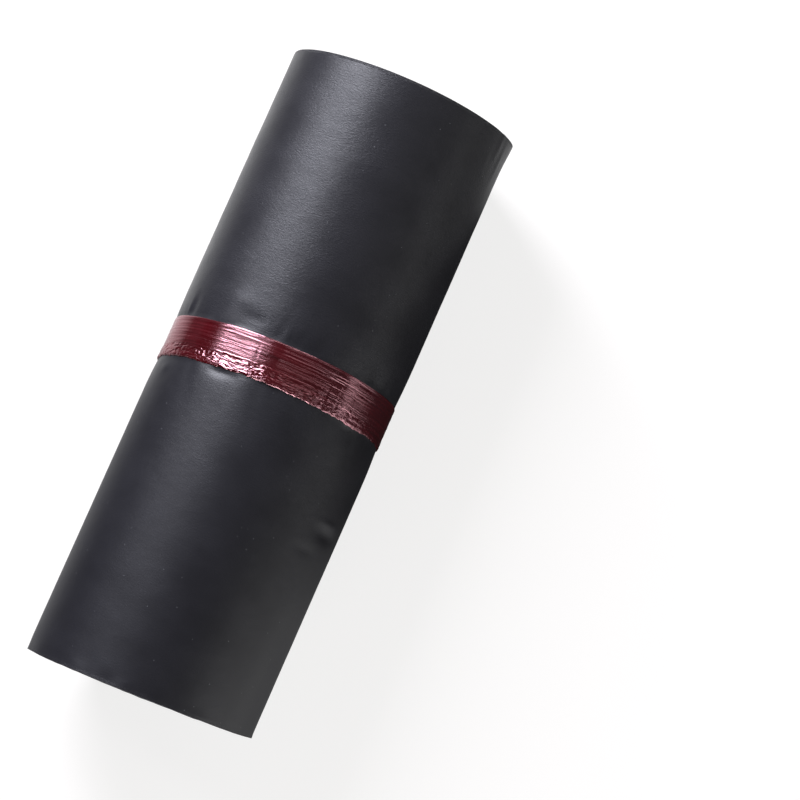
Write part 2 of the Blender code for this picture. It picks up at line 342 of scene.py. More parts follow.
# Dents and creases that the photograph shows on the skin, each with its place as degrees round
# the section and metres along X, its half sizes round and along in metres, and its rise
DENTS = [
    (62.5, -0.0058, 0.0056, 0.0024, -0.00062),
    (68.0, 0.0200, 0.0058, 0.0026, -0.00032),
    (59.0, 0.0255, 0.0060, 0.0030, 0.00018),
    (75.0, 0.0185, 0.0007, 0.0030, 0.00016),
    (86.0, 0.0178, 0.0008, 0.0035, 0.00018),
    (25.0, 0.0160, 0.0008, 0.0040, 0.00030),
    (29.0, 0.0170, 0.0016, 0.0050, -0.00030),
    (27.0, -0.0115, 0.0032, 0.0022, 0.00035),
    (133.0, -0.0070, 0.0040, 0.0030, -0.00045),
    (138.0, 0.0170, 0.0055, 0.0080, -0.00065),
    (160.0, 0.0330, 0.0014, 0.0080, 0.00022),
    (167.0, 0.0270, 0.0014, 0.0080, 0.00020),
    (172.0, 0.1420, 0.0140, 0.0100, 0.00100),
    (153.5, 0.1340, 0.0016, 0.0075, 0.00028),
    (160.5, 0.1270, 0.0016, 0.0080, 0.00028),
    (147.0, 0.1240, 0.0014, 0.0060, 0.00012),
    (153.0, -0.0500, 0.0075, 0.0030, -0.00085),
    (150.0, -0.0452, 0.0070, 0.0018, 0.00028),
    (140.0, -0.0592, 0.0060, 0.0022, -0.00018),
]


# Gathers of the skin beside the film: their height, size round, slant, reach along the roll and
# seed, the level that is neither ridge nor furrow, and the row of the noise on either side. Under
# the film the skin is smooth, and its relief sets in steeply at the film's edges
GATHER_HEIGHT = 0.00055
GATHER_SIZE = 0.010
GATHER_SLANT = 0.05
GATHER_REACH = 0.012
GATHER_SEED = 11
GATHER_LEVEL = 0.35
GATHER_ROWS = (0.0, 37.0)
RELIEF_STEEPNESS = 14

# Soft waves of the skin, each with its height, sizes round and along, seed and octaves. They are
# calmer towards the low end. Each rim has waves of its own, which fade over a short depth
LONG_WAVES = (0.00011, 0.060, 0.090, 21, 2)
SHORT_WAVES = (0.00004, 0.016, 0.012, 31, 2)
FINE_WAVES = (0.000016, 0.0032, 0.0018, 41, 1)
CALM_SHARE = 0.25
CALM_FROM = -0.05
CALM_LENGTH = 0.09
RIM_WAVE_HEIGHT = 0.00025
RIM_WAVE_SIZE = 0.007
RIM_WAVE_ROW = 5
RIM_WAVE_SEED = 51
RIM_DEPTH = 0.004


def skin_rise(strip_angle, strip_length, x, centre):
    """How far the skin stands out from its plain section, in metres."""

    def waves(kind):
        height, size_round, size_along, seed, octaves = kind
        return height * layered_noise(strip_length / size_round, x / size_along, seed, octaves)

    off = x - centre
    slope = np.clip((np.abs(off) - FILM_WIDTH / 2 - WAIST_MARGIN) / WAIST_SLOPE, 0, 1)
    beyond = np.clip(np.abs(off) - FILM_WIDTH / 2, 0, None)
    free = 1 - np.exp(-((off / (FILM_WIDTH / 2 + WAIST_MARGIN)) ** RELIEF_STEEPNESS))
    place = strip_length / GATHER_SIZE + beyond / GATHER_SLANT
    gather = np.abs(smooth_noise(place, np.where(off > 0, *GATHER_ROWS), GATHER_SEED))
    rise = GATHER_HEIGHT * (gather - GATHER_LEVEL) * np.exp(-((beyond / GATHER_REACH) ** 2))
    calm = mix(CALM_SHARE, 1.0, np.clip((x - CALM_FROM) / CALM_LENGTH, 0, 1))
    rise += calm * (waves(LONG_WAVES) + waves(SHORT_WAVES)) + waves(FINE_WAVES)
    rim_wave = smooth_noise(strip_length / RIM_WAVE_SIZE, np.sign(x) * RIM_WAVE_ROW, RIM_WAVE_SEED)
    rim = np.clip((BAG_WIDTH / 2 - np.abs(x)) / RIM_DEPTH, 0, 1)
    rise += RIM_WAVE_HEIGHT * rim_wave * (1 - rim) ** 2
    for angle, dent_x, half_round, half_along, height in DENTS:
        around = (strip_angle - angle) * math.radians(1) * ROLL_WIDTH / 2
        spread = (around / half_round) ** 2 + ((x - dent_x) / half_along) ** 2
        rise += height * np.exp(-spread)
    return rise * free - WAIST_DEPTH * (1 - slope) ** 2


def make_mesh_object(name, vertices, faces, uvs=None):
    """A smooth-shaded object from arrays. uvs holds one pair for each vertex."""
    mesh = bpy.data.meshes.new(name)
    mesh.from_pydata(vertices.tolist(), [], faces)
    mesh.validate()
    if uvs is not None:
        layer = mesh.uv_layers.new(name="surface")
        corner_vertices = np.empty(len(mesh.loops), dtype=np.int32)
        mesh.loops.foreach_get("vertex_index", corner_vertices)
        layer.data.foreach_set("uv", uvs[corner_vertices].astype(np.float32).ravel())
    mesh.shade_smooth()
    obj = bpy.data.objects.new(name, mesh)
    bpy.context.scene.collection.objects.link(obj)
    return obj


def grid_faces(index, flip=False):
    """Quads between the rows and columns of a table of vertex numbers."""
    quads = np.stack([index[:-1, :-1], index[:-1, 1:], index[1:, 1:], index[1:, :-1]], -1)
    quads = quads.reshape(-1, 4)
    if flip:
        quads = quads[:, ::-1]
    return quads.tolist()


# Layer edges on the ends. Every second point stands out by a step, and the step changes along the
# strip. Bunches of layers drift in and out slowly, and single layers flutter finely. Each noise has
# its size along the strip and how far apart the layers lie in it
LAYER_STEP = 0.00034
LAYER_STEP_CHANGE = 0.6
LAYER_STEP_SIZE = 0.012
LAYER_STEP_APART = 7.3
LAYER_DRIFT = 0.00020
LAYER_DRIFT_SIZE = 0.045
LAYER_DRIFT_APART = 0.25
LAYER_FLUTTER = 0.00012
LAYER_FLUTTER_SIZE = 0.0035
LAYER_FLUTTER_APART = 3.7

# The relief fades at the rim and where the strip is thin. Each end has its own noise
THICK_ENOUGH = 0.012
LEAST_RELIEF = 0.05
RIM_FADE_COLUMNS = 16
LOW_END_SEED = 71
HIGH_END_SEED = 61


def layer_edge_heights(strip, side):
    """Height of each point of an end face over the plain end: layer edges with slack between."""
    column = np.arange(2 * LAYERS + 1)
    layer = (column + 1) // 2
    thickness = np.linalg.norm(strip.outer - strip.inner, axis=1)
    relief = np.clip(thickness / THICK_ENOUGH, LEAST_RELIEF, 1)[:, None]
    along = strip.middle_length[:, None]
    seed = HIGH_END_SEED if side > 0 else LOW_END_SEED
    change = smooth_noise(along / LAYER_STEP_SIZE, layer * LAYER_STEP_APART, seed)
    step = LAYER_STEP * (column % 2) * (1 + LAYER_STEP_CHANGE * change)
    drift = smooth_noise(along / LAYER_DRIFT_SIZE, layer * LAYER_DRIFT_APART, seed + 1)
    flutter = smooth_noise(along / LAYER_FLUTTER_SIZE, layer * LAYER_FLUTTER_APART, seed + 2)
    loose = (LAYER_DRIFT * drift + LAYER_FLUTTER * flutter) * (column < 2 * LAYERS)
    rim = np.clip((column - 1) / RIM_FADE_COLUMNS, 0, 1)
    return (step + loose) * relief * rim


# How much closer than evenly the skin's points lie near the film, and wider at the ends
FILM_CROWDING = 0.35

# Units of the surface coordinates to the metre, and the angles from which an edge is sharp
UNITS_PER_METRE = 10
SHARP_ROLL_ANGLE = math.radians(50)
SHARP_LINER_ANGLE = math.radians(60)


def skin_grid(strip, side):
    """The skin from its rim to the film: X and section points, a row for each point of the strip."""
    centre = film_centre(*strip.outer.T)
    end_x = side * BAG_WIDTH / 2 + end_shift(side, *strip.outer.T, strip.share)
    t = np.linspace(0, 1, SKIN_STEPS + 1)
    toward = t + FILM_CROWDING * np.sin(math.pi * t) / math.pi
    x = end_x[:, None] + (centre - end_x)[:, None] * toward
    rise = skin_rise(strip.angle[:, None], strip.length[:, None], x, centre[:, None])
    rise = (rise * strip.outside[:, None])[..., None]
    section = strip.outer[:, None, :] + strip.normal[:, None, :] * rise
    section[..., 1] = np.maximum(section[..., 1], FLOOR)
    return x, section


def end_grid(strip, side, rim_x, rim):
    """An end face from the rim inwards: its points and its surface coordinates."""
    across = np.linspace(0, 1, 2 * LAYERS + 1)
    section = rim[:, None, :] * (1 - across[:, None]) + strip.inner[:, None, :] * across[:, None]
    shift = end_shift(side, section[..., 0], section[..., 1], strip.share[:, None])
    x = side * (BAG_WIDTH / 2 + layer_edge_heights(strip, side)) + shift
    x[:, 0] = rim_x
    u = strip.middle_length[:, None] + 0 * x
    v = across * STACK_THICKNESS + 0 * x
    return np.dstack([x, section]), np.dstack([u, v])


def make_roll_half(name, strip, side, material):
    """One half of the roll as a closed solid, from one end to the middle of the binding film."""
    x, skin = skin_grid(strip, side)
    face, face_uvs = end_grid(strip, side, x[:, 0], skin[:, 0])
    vertices = [face.reshape(-1, 3)]
    uvs = [face_uvs.reshape(-1, 2)]
    rows, columns = face.shape[:2]
    count = rows * columns
    face_index = np.arange(count).reshape(rows, columns)

    walls = []
    for row in range(rows):
        steps = range(1, SKIN_STEPS + 1) if strip.outside[row] else [SKIN_STEPS]
        wall = [face_index[row, 0]]
        points = [(x[row, k], *skin[row, k]) for k in steps]
        vertices.append(np.array(points))
        uvs.append(np.array([(strip.length[row], x[row, k]) for k in steps]))
        wall.extend(range(count, count + len(points)))
        count += len(points)
        walls.append(wall)
    inner_cut = np.column_stack([film_centre(*strip.inner.T), strip.inner])
    vertices.append(inner_cut)
    uvs.append(np.column_stack([strip.length, inner_cut[:, 0]]))
    inner_index = np.arange(count, count + rows)

    forward = side > 0
    faces = grid_faces(face_index, flip=not forward)
    for first, second in zip(walls, walls[1:]):
        if len(first) == len(second):
            quads = [(first[k], second[k], second[k + 1], first[k + 1]) for k in range(len(first) - 1)]
        else:
            quads = [(*second, *first[::-1])]
        faces.extend(quads if forward else [quad[::-1] for quad in quads])
    for row in range(rows - 1):
        inner = (face_index[row, -1], inner_index[row], inner_index[row + 1], face_index[row + 1, -1])
        cut = (walls[row][-1], walls[row + 1][-1], inner_index[row + 1], inner_index[row])
        faces.extend([inner, cut] if forward else [inner[::-1], cut[::-1]])
    for row, turned in ((0, forward), (rows - 1, not forward)):
        tip = (*face_index[row], inner_index[row], walls[row][-1])
        faces.append(tip[::-1] if turned else tip)
    on_floor = np.concatenate(vertices) - (0, 0, FLOOR)
    obj = make_mesh_object(name, on_floor, faces, np.concatenate(uvs) * UNITS_PER_METRE)
    obj.data.set_sharp_from_angle(angle=SHARP_ROLL_ANGLE)
    obj.data.materials.append(material)
    return obj


# The red film's height in metres: swells, strands and thin ridges, and a little slack on top. It
# thins at its edges, over a share of its width, to a share of its height
FILM_THICKNESS = 0.00020
FILM_LEAST = 0.00010
FILM_MOST = 0.0015
FILM_SWELL = 0.00008
STRAND_HEIGHT = 0.000035
SHORT_STRAND_SHARE = 0.6
STRAND_RIPPLE = 0.00003
RIDGE_HEIGHT = 0.00007
RIDGE_SHARPNESS = 6
SLACK_HEIGHT = 0.00045
SLACK_Y = 0.0035
SLACK_HALF_WIDTH = 0.0065
THIN_EDGE_WIDTH = 0.02
THIN_EDGE_HEIGHT = 0.35

# The crumpled lip on the film's low side: its height and how much that changes, its share of the
# film's width and how far that border strays, and its creases. Towards -Y it fades to a least share
LIP_HEIGHT = 0.00050
LIP_CHANGE = 0.25
LIP_SHARE = 0.33
LIP_STRAY = 0.05
LIP_FINE_STRAY = 0.035
LIP_SOFTNESS = 0.010
LIP_FULL_Y = -0.008
LIP_FADE_Y = 0.04
LIP_LEAST = 0.4
CREASE_DEPTH = 0.00018
CREASE_SHARPNESS = 4
SHORT_CREASE_SHARE = 0.5
SHORT_CREASE_SHARPNESS = 3
CRUMPLE_HEIGHT = 0.00010

# Waves of the film's two edges, each with its height, how many there are round the roll and its
# seed, and how often the film's path is smoothed
LOW_EDGE_WAVES = (0.0007, 30, 91)
LOW_EDGE_RAGS = (0.0005, 190, 92)
HIGH_EDGE_WAVES = (0.0002, 24, 93)
PATH_SMOOTHINGS = 4
FILM_STEPS_ROUND = 600
FILM_STEPS_ACROSS = 140

# Noises of the film, each with its pitch round the roll, its pitch across the film and its seed.
# Some are the same all across it
NO_CHANGE_ACROSS = 0.5
LIP_CHANGES = (0.011, NO_CHANGE_ACROSS, 80)
BORDER_WAVES = (0.014, NO_CHANGE_ACROSS, 81)
BORDER_RAGS = (0.0023, NO_CHANGE_ACROSS, 82)
LONG_STRANDS = (0.055, 0.00060, 83)
SHORT_STRANDS = (0.024, 0.00042, 84)
LONG_CREASES = (0.0024, 0.0018, 85)
SHORT_CREASES = (0.0011, 0.0008, 86)
CRUMPLES = (0.0012, 0.0006, 87)
SWELLS = (0.045, 0.012, 88)
RIPPLES = (0.006, 0.0012, 90)
RIDGES = (0.090, 0.0010, 94)


def film_path(strip):
    """Evenly spaced points round the film's inner face, their outward normals and its length."""
    waist = (strip.outer - strip.normal * WAIST_DEPTH)[strip.outside]
    corners = waist[convex_hull_2d(waist.tolist())]
    closed = np.vstack([corners, corners[:1]])
    length = np.concatenate([[0.0], np.cumsum(np.linalg.norm(np.diff(closed, axis=0), axis=1))])
    places = np.linspace(0, length[-1], FILM_STEPS_ROUND, endpoint=False)
    points = np.column_stack([np.interp(places, length, closed[:, k]) for k in (0, 1)])
    for _ in range(PATH_SMOOTHINGS):
        points = (np.roll(points, 1, 0) + 2 * points + np.roll(points, -1, 0)) / 4
    along = np.roll(points, -1, 0) - np.roll(points, 1, 0)
    along /= np.linalg.norm(along, axis=1)[:, None]
    normal = np.stack([along[:, 1], -along[:, 0]], 1)
    return points, normal, places, length[-1]


def film_height(places, total, across, y):
    """Height of the film's outer face: strands, a little slack on top, and a crumpled lip."""

    def noise(kind):
        pitch_round, pitch_across, seed = kind
        turns = max(2, round(total / pitch_round))
        return smooth_noise(places / total * turns, across / pitch_across, seed, wrap=turns)

    share = across / FILM_WIDTH + 0.5
    border = LIP_SHARE + LIP_STRAY * noise(BORDER_WAVES) + LIP_FINE_STRAY * noise(BORDER_RAGS)
    within = np.clip(share / border, 0, 1)
    lip = (1 - within**2) * (1 - LIP_CHANGE + LIP_CHANGE * noise(LIP_CHANGES))
    inside = 1 / (1 + np.exp((share - border) / LIP_SOFTNESS))
    strands = STRAND_HEIGHT * (noise(LONG_STRANDS) + SHORT_STRAND_SHARE * noise(SHORT_STRANDS))
    strands = strands + STRAND_RIPPLE * noise(RIPPLES)
    ridges = (1 - np.abs(noise(RIDGES))) ** RIDGE_SHARPNESS
    creases = (1 - np.abs(noise(LONG_CREASES))) ** CREASE_SHARPNESS
    short_creases = (1 - np.abs(noise(SHORT_CREASES))) ** SHORT_CREASE_SHARPNESS
    creases = creases + SHORT_CREASE_SHARE * short_creases
    crumples = LIP_HEIGHT * lip - CREASE_DEPTH * creases + CRUMPLE_HEIGHT * noise(CRUMPLES)
    crumples = crumples * np.clip(1 + (y - LIP_FULL_Y) / LIP_FADE_Y, LIP_LEAST, 1)
    slack = SLACK_HEIGHT * np.exp(-(((y - SLACK_Y) / SLACK_HALF_WIDTH) ** 2))
    swell = slack + FILM_SWELL * noise(SWELLS)
    rise = FILM_THICKNESS + swell + strands + RIDGE_HEIGHT * ridges + crumples * inside
    return np.clip(rise, FILM_LEAST, FILM_MOST)


def make_tearing_film(strip, material):
    """The narrow film wound round the waist: straight strands, and a crumpled ragged low side."""
    points, normal, places, total = film_path(strip)

    def edge_waves(kind):
        height, number, seed = kind
        return height * smooth_noise(places / total * number, 0.0, seed, wrap=number)

    across = np.linspace(-0.5, 0.5, FILM_STEPS_ACROSS + 1)
    low = -FILM_WIDTH / 2 - edge_waves(LOW_EDGE_WAVES) - np.abs(edge_waves(LOW_EDGE_RAGS))
    high = FILM_WIDTH / 2 + edge_waves(HIGH_EDGE_WAVES)
    offset = low[:, None] + (high - low)[:, None] * (across + 0.5)
    height = film_height(places[:, None], total, across * FILM_WIDTH + 0 * offset, points[:, :1])
    edge_fade = np.clip((0.5 - np.abs(across)) / THIN_EDGE_WIDTH, THIN_EDGE_HEIGHT, 1)
    height = FILM_CLEARANCE + height * edge_fade
    centre = film_centre(*points.T)
    x = centre[:, None] + offset
    yz = points[:, None, :] + normal[:, None, :] * height[..., None]
    yz[..., 1] = np.maximum(yz[..., 1], FLOOR)
    outer = np.dstack([x, yz])
    inner_yz = points + normal * FILM_CLEARANCE
    inner_yz[:, 1] = np.maximum(inner_yz[:, 1], FLOOR)
    inner_low = np.column_stack([centre + low, inner_yz])[:, None, :]
    inner_high = np.column_stack([centre + high, inner_yz])[:, None, :]
    rings = np.concatenate([inner_low, outer, inner_high], 1)
    rows, columns = rings.shape[:2]
    index = np.arange(rows * columns).reshape(rows, columns)
    index = np.vstack([index, index[:1]])
    index = np.hstack([index, index[:, :1]])
    ring_across = np.concatenate([[-0.5], across, [0.5]]) * FILM_WIDTH
    uvs = np.dstack([places[:, None] + 0 * rings[..., 0], ring_across + 0 * rings[..., 0]])
    vertices = rings.reshape(-1, 3) - (0, 0, FLOOR)
    faces = grid_faces(index, flip=True)
    obj = make_mesh_object("tearing_film", vertices, faces, uvs.reshape(-1, 2) * UNITS_PER_METRE)
    obj.data.materials.append(material)
    return obj


# The release liners: thin strips whose ragged edges stand out at the ends, where they lean and
# crinkle more, over a short depth. Each noise has its height, pitch or pitches, and seed, and a
# fleck rises where its noise passes a level
LINER_THICKNESS = 0.00018
LINER_PROUD = 0.0008
LINER_RAGGED = 0.0007
LINER_RAGGED_PITCH = 0.005
LINER_RAGGED_SEED = 101
LINER_FLECK = 0.0012
LINER_FLECK_FROM = 0.55
LINER_FLECK_PITCH = 0.0022
LINER_FLECK_SEED = 102
LINER_WAVE = 0.00012
LINER_WAVE_PITCHES = (0.004, 0.02)
LINER_WAVE_SEED = 103
LINER_CRINKLE = 0.00040
LINER_CRINKLE_PITCHES = (0.0020, 0.003)
LINER_CRINKLE_SEED = 113
LINER_LEAN = 0.0013
LINER_LEAN_PITCH = 0.009
LINER_LEAN_SEED = 123
LINER_OPEN_DEPTH = 0.0015
LINER_STEPS_ROUND = 130
LINER_END_STEPS = 8
LINER_END_DEPTH = 0.004


def make_liner(number, material):
    """One release liner in the slit round the arch, crinkled where it comes out at the ends."""
    start = LINER_START + number * LINER_PITCH
    angles = start + LINER_ARC * np.linspace(0, 1, LINER_STEPS_ROUND)
    middle = np.array([arch_radius(a) + LINER_SLIT / 2 for a in angles])
    along = middle * (angles - start)
    centre_y = CORE[0] + middle * np.cos(angles)
    centre_z = CORE[1] + middle * np.sin(angles)
    columns = []
    for side in (-1, 1):
        ragged = layered_noise(along / LINER_RAGGED_PITCH, side * 9.0 + number, LINER_RAGGED_SEED, 3)
        fleck = smooth_noise(along / LINER_FLECK_PITCH, side * 5.0 + number, LINER_FLECK_SEED)
        stray = LINER_RAGGED * ragged + LINER_FLECK * np.clip(fleck - LINER_FLECK_FROM, 0, 1)
        edge = side * (BAG_WIDTH / 2 + LINER_PROUD + stray)
        edge = edge + end_shift(side, centre_y, centre_z, 0.0)
        depth = LINER_END_DEPTH * np.linspace(0, 1, LINER_END_STEPS)
        block = edge[:, None] - side * depth
        columns.append(block if side < 0 else block[:, ::-1])
    x = np.hstack(columns)
    out = np.clip((np.abs(x) - BAG_WIDTH / 2) / LINER_OPEN_DEPTH, 0, 1)
    place = along[:, None]
    pitch_round, pitch_along = LINER_WAVE_PITCHES
    wave = smooth_noise(place / pitch_round, x / pitch_along, LINER_WAVE_SEED + number)
    pitch_round, pitch_along = LINER_CRINKLE_PITCHES
    crinkle = layered_noise(place / pitch_round, x / pitch_along, LINER_CRINKLE_SEED + number, 2)
    lean = smooth_noise(place / LINER_LEAN_PITCH, np.sign(x) * 3 + number, LINER_LEAN_SEED)
    open_rise = LINER_CRINKLE * crinkle + LINER_LEAN * lean
    radius = middle[:, None] + LINER_WAVE * wave + open_rise * out
    y = CORE[0] + radius * np.cos(angles)[:, None]
    z = CORE[1] + radius * np.sin(angles)[:, None]
    half = LINER_THICKNESS / 2
    thin = np.dstack([0 * x, np.cos(angles)[:, None] + 0 * x, np.sin(angles)[:, None] + 0 * x]) * half
    top = np.dstack([x, y, z]) + thin
    under = np.dstack([x, y, z]) - thin
    rings = np.concatenate([top, under[:, ::-1]], 1)
    rows, width = rings.shape[:2]
    index = np.arange(rows * width).reshape(rows, width)
    faces = grid_faces(np.hstack([index, index[:, :1]]), flip=True)
    faces.append(tuple(int(i) for i in index[0]))
    faces.append(tuple(int(i) for i in index[-1][::-1]))
    uvs = np.dstack([along[:, None] + 0 * rings[..., 0], rings[..., 0]]).reshape(-1, 2)
    name = f"liner_strip_{number + 1}"
    obj = make_mesh_object(name, rings.reshape(-1, 3) - (0, 0, FLOOR), faces, uvs * UNITS_PER_METRE)
    obj.data.set_sharp_from_angle(angle=SHARP_LINER_ANGLE)
    obj.data.materials.append(material)
    return obj


class Finish:
    """A Principled material with small helpers to add its nodes."""

    def __init__(self, name, **values):
        self.material = bpy.data.materials.new(name)
        self.material.use_nodes = True
        self.tree = self.material.node_tree
        self.shader = self.tree.nodes["Principled BSDF"]
        for socket, value in values.items():
            self.shader.inputs[socket.replace("_", " ")].default_value = value

    def node(self, kind, links=(), **settings):
        """A node with its settings, and its inputs linked or set by name or number."""
        node = self.tree.nodes.new(kind)
        for key, value in settings.items():
            setattr(node, key, value)
        for socket, source in dict(links).items():
            if isinstance(source, bpy.types.NodeSocket):
                self.tree.links.new(source, node.inputs[socket])
            else:
                node.inputs[socket].default_value = source
        return node

    def surface_uv(self, along, across):
        """Surface coordinates with one unit for a length along the turn and a length across."""
        uv = self.node("ShaderNodeUVMap", uv_map="surface").outputs[0]
        scale = (1 / (UNITS_PER_METRE * along), 1 / (UNITS_PER_METRE * across), 1.0)
        return self.node("ShaderNodeMapping", {"Vector": uv, "Scale": scale}).outputs[0]

    def noise(self, vector, scale=1.0, detail=2.0, roughness=0.5, distortion=0.0):
        """Soft noise about a half, mostly within 0 and 1."""
        links = {"Vector": vector, "Scale": scale, "Detail": detail}
        links.update({"Roughness": roughness, "Distortion": distortion})
        return self.node("ShaderNodeTexNoise", links).outputs["Fac"]

    def math(self, operation, a, b=0.0, clamp=False):
        """One sum of two values."""
        return self.node("ShaderNodeMath", {0: a, 1: b}, operation=operation, use_clamp=clamp).outputs[0]

    def spread(self, value, low, high, to_low=0.0, to_high=1.0):
        """A value stretched from one range to another, held within it."""
        links = {"Value": value, "From Min": low, "From Max": high, "To Min": to_low, "To Max": to_high}
        return self.node("ShaderNodeMapRange", links, clamp=True).outputs[0]

    def blend(self, share, first, second):
        """A colour between two colours."""
        node = self.node("ShaderNodeMix", data_type="RGBA")
        for socket, source in ((0, share), (6, first), (7, second)):
            if isinstance(source, bpy.types.NodeSocket):
                self.tree.links.new(source, node.inputs[socket])
            else:
                node.inputs[socket].default_value = source
        return node.outputs[2]

    def bump(self, height, distance, normal=None):
        """A bump of a real height in metres, on top of another bump if one is given."""
        links = {"Height": height, "Distance": distance, "Strength": 1.0}
        if normal is not None:
            links["Normal"] = normal
        return self.node("ShaderNodeBump", links).outputs[0]

    def feed(self, socket, source):
        """Links a value into the Principled shader."""
        self.tree.links.new(source, self.shader.inputs[socket])


# Colours of the finishes
BLACK = (0.0128, 0.0124, 0.0160, 1.0)
BLACK_WORN = (0.0150, 0.0146, 0.0188, 1.0)
# The ends' layer lines: painted shade in the gaps, the edges' own grey, and a painted highlight on the
# edges that stand out
GAP_PAINTED_SHADE = (0.0100, 0.0100, 0.0112, 1.0)
EDGE_GREY = (0.0900, 0.0900, 0.0980, 1.0)
EDGE_PAINTED_HIGHLIGHT = (0.22, 0.22, 0.235, 1.0)
SPECK = (0.16, 0.16, 0.17, 1.0)
CRIMSON = (0.105, 0.004, 0.008, 1.0)
DARK_CRIMSON = (0.040, 0.002, 0.003, 1.0)
RED_SHEEN = (1.0, 0.53, 0.60, 1.0)
LINER_WHITE = (0.72, 0.72, 0.73, 1.0)
LINER_GREY = (0.26, 0.26, 0.27, 1.0)

# Sizes of the finishes' noises, along the turn and across it, in metres. On the skin and the film
# across is along X, and on an end it is from the rim inwards
CRINKLE_SIZE = (0.0015, 0.0006)
PATCH_SIZE = (0.020, 0.016)
GRAIN_SIZE = (0.0005, 0.0004)
EDGE_LINE_SIZE = (0.0070, 0.00024)
STRAND_SIZE = (0.030, 0.0007)
SHADE_SIZE = (0.025, 0.008)
FILM_LINE_SIZE = (0.040, 0.00032)
LINER_CREASE_SIZE = (0.0012, 0.0020)
LINER_FLECK_SIZE = (0.0030, 0.0060)

# Heights of the finishes' bumps in metres, their roughness and what an end adds to it, and the
# film's index of refraction
CRINKLE_DEPTH = 0.00026
EDGE_LINE_DEPTH = 0.00016
GRAIN_DEPTH = 0.00002
FILM_LINE_DEPTH = 0.00009
LINER_CREASE_DEPTH = 0.00015
SKIN_ROUGHNESS = (0.40, 0.44)
END_ROUGHNESS = 0.25
FILM_ROUGHNESS = (0.11, 0.20)
LINER_ROUGHNESS = 0.35
FILM_IOR = 3.0

# Ranges of the noises that are stretched to a full change, and the shares of two in the film's tone
MIDDLE_RANGE = (0.3, 0.7)
WORN_RANGE = (0.35, 0.65)
# On the ends, the gaps' painted shade turns to the edges' grey, and then to a painted highlight on the
# highest edges
END_FACING_RANGE = (0.45, 0.75)
GREY_LINE_RANGE = (0.40, 0.72)
EDGE_HIGHLIGHT_RANGE = (0.63, 0.73)
FILM_TONE_RANGE = (0.4, 0.75)
STRAND_TONE = 0.6
SHADE_TONE = 0.5
LINER_FLECK_RANGE = (0.50, 0.66)
LINER_FLECK_LEAST = 0.35
LINER_CREASE_RANGE = (0.30, 0.60)

# Dust specks: cells to the metre, size as a share of a cell, and the share of cells without one
SPECK_CELLS = 360.0
SPECK_SIZE = 0.065
SPECK_NONE = 0.72

# Where the skin's crinkle is faint and where it is full, along X
CRINKLE_ALONG = (-0.06, 0.06)
CRINKLE_FAINT = 0.30


def black_film_finish():
    """Satin black polyethylene: a fine crinkle, pale dust specks, and layer lines on the ends in painted
    shade and highlight.
    """
    finish = Finish("black_film_finish")
    crinkle_uv = finish.surface_uv(*CRINKLE_SIZE)
    crinkle = finish.noise(crinkle_uv, detail=4.0, roughness=0.65, distortion=0.6)
    patches = finish.noise(finish.surface_uv(*PATCH_SIZE), detail=2.0)
    grain = finish.noise(finish.surface_uv(*GRAIN_SIZE), detail=1.0)
    facing = finish.node("ShaderNodeTexCoord").outputs["Normal"]
    facing_x = finish.node("ShaderNodeSeparateXYZ", {0: facing}).outputs[0]
    end_face = finish.spread(finish.math("ABSOLUTE", facing_x), *END_FACING_RANGE)
    edges = finish.noise(finish.surface_uv(*EDGE_LINE_SIZE), detail=3.0, roughness=0.7)
    skin = finish.math("MULTIPLY", crinkle, patches)
    skin = finish.math("MULTIPLY", skin, finish.math("SUBTRACT", 1.0, end_face))
    place = finish.node("ShaderNodeTexCoord").outputs["Object"]
    place_x = finish.node("ShaderNodeSeparateXYZ", {0: place}).outputs[0]
    skin = finish.math("MULTIPLY", skin, finish.spread(place_x, *CRINKLE_ALONG, CRINKLE_FAINT, 1.0))
    normal = finish.bump(skin, CRINKLE_DEPTH)
    normal = finish.bump(finish.math("MULTIPLY", edges, end_face), EDGE_LINE_DEPTH, normal)
    normal = finish.bump(grain, GRAIN_DEPTH, normal)
    finish.feed("Normal", normal)
    skin_roughness = finish.spread(patches, *MIDDLE_RANGE, *SKIN_ROUGHNESS)
    end_roughness = finish.math("MULTIPLY", end_face, END_ROUGHNESS)
    finish.feed("Roughness", finish.math("ADD", skin_roughness, end_roughness))

    cells = finish.node("ShaderNodeTexVoronoi", {"Vector": place, "Scale": SPECK_CELLS})
    near = finish.math("LESS_THAN", cells.outputs["Distance"], SPECK_SIZE)
    few = finish.math("GREATER_THAN", cells.outputs["Color"], SPECK_NONE)
    film = finish.blend(finish.spread(patches, *WORN_RANGE), BLACK, BLACK_WORN)
    # Layer lines on the ends: painted shade where the bump sinks into gaps, grey edges, and a painted
    # highlight where it stands highest
    layers = finish.blend(finish.spread(edges, *GREY_LINE_RANGE), GAP_PAINTED_SHADE, EDGE_GREY)
    layers = finish.blend(finish.spread(edges, *EDGE_HIGHLIGHT_RANGE), layers, EDGE_PAINTED_HIGHLIGHT)
    film = finish.blend(end_face, film, layers)
    speckled = finish.blend(finish.math("MULTIPLY", near, few), film, SPECK)
    finish.feed("Base Color", speckled)
    return finish.material


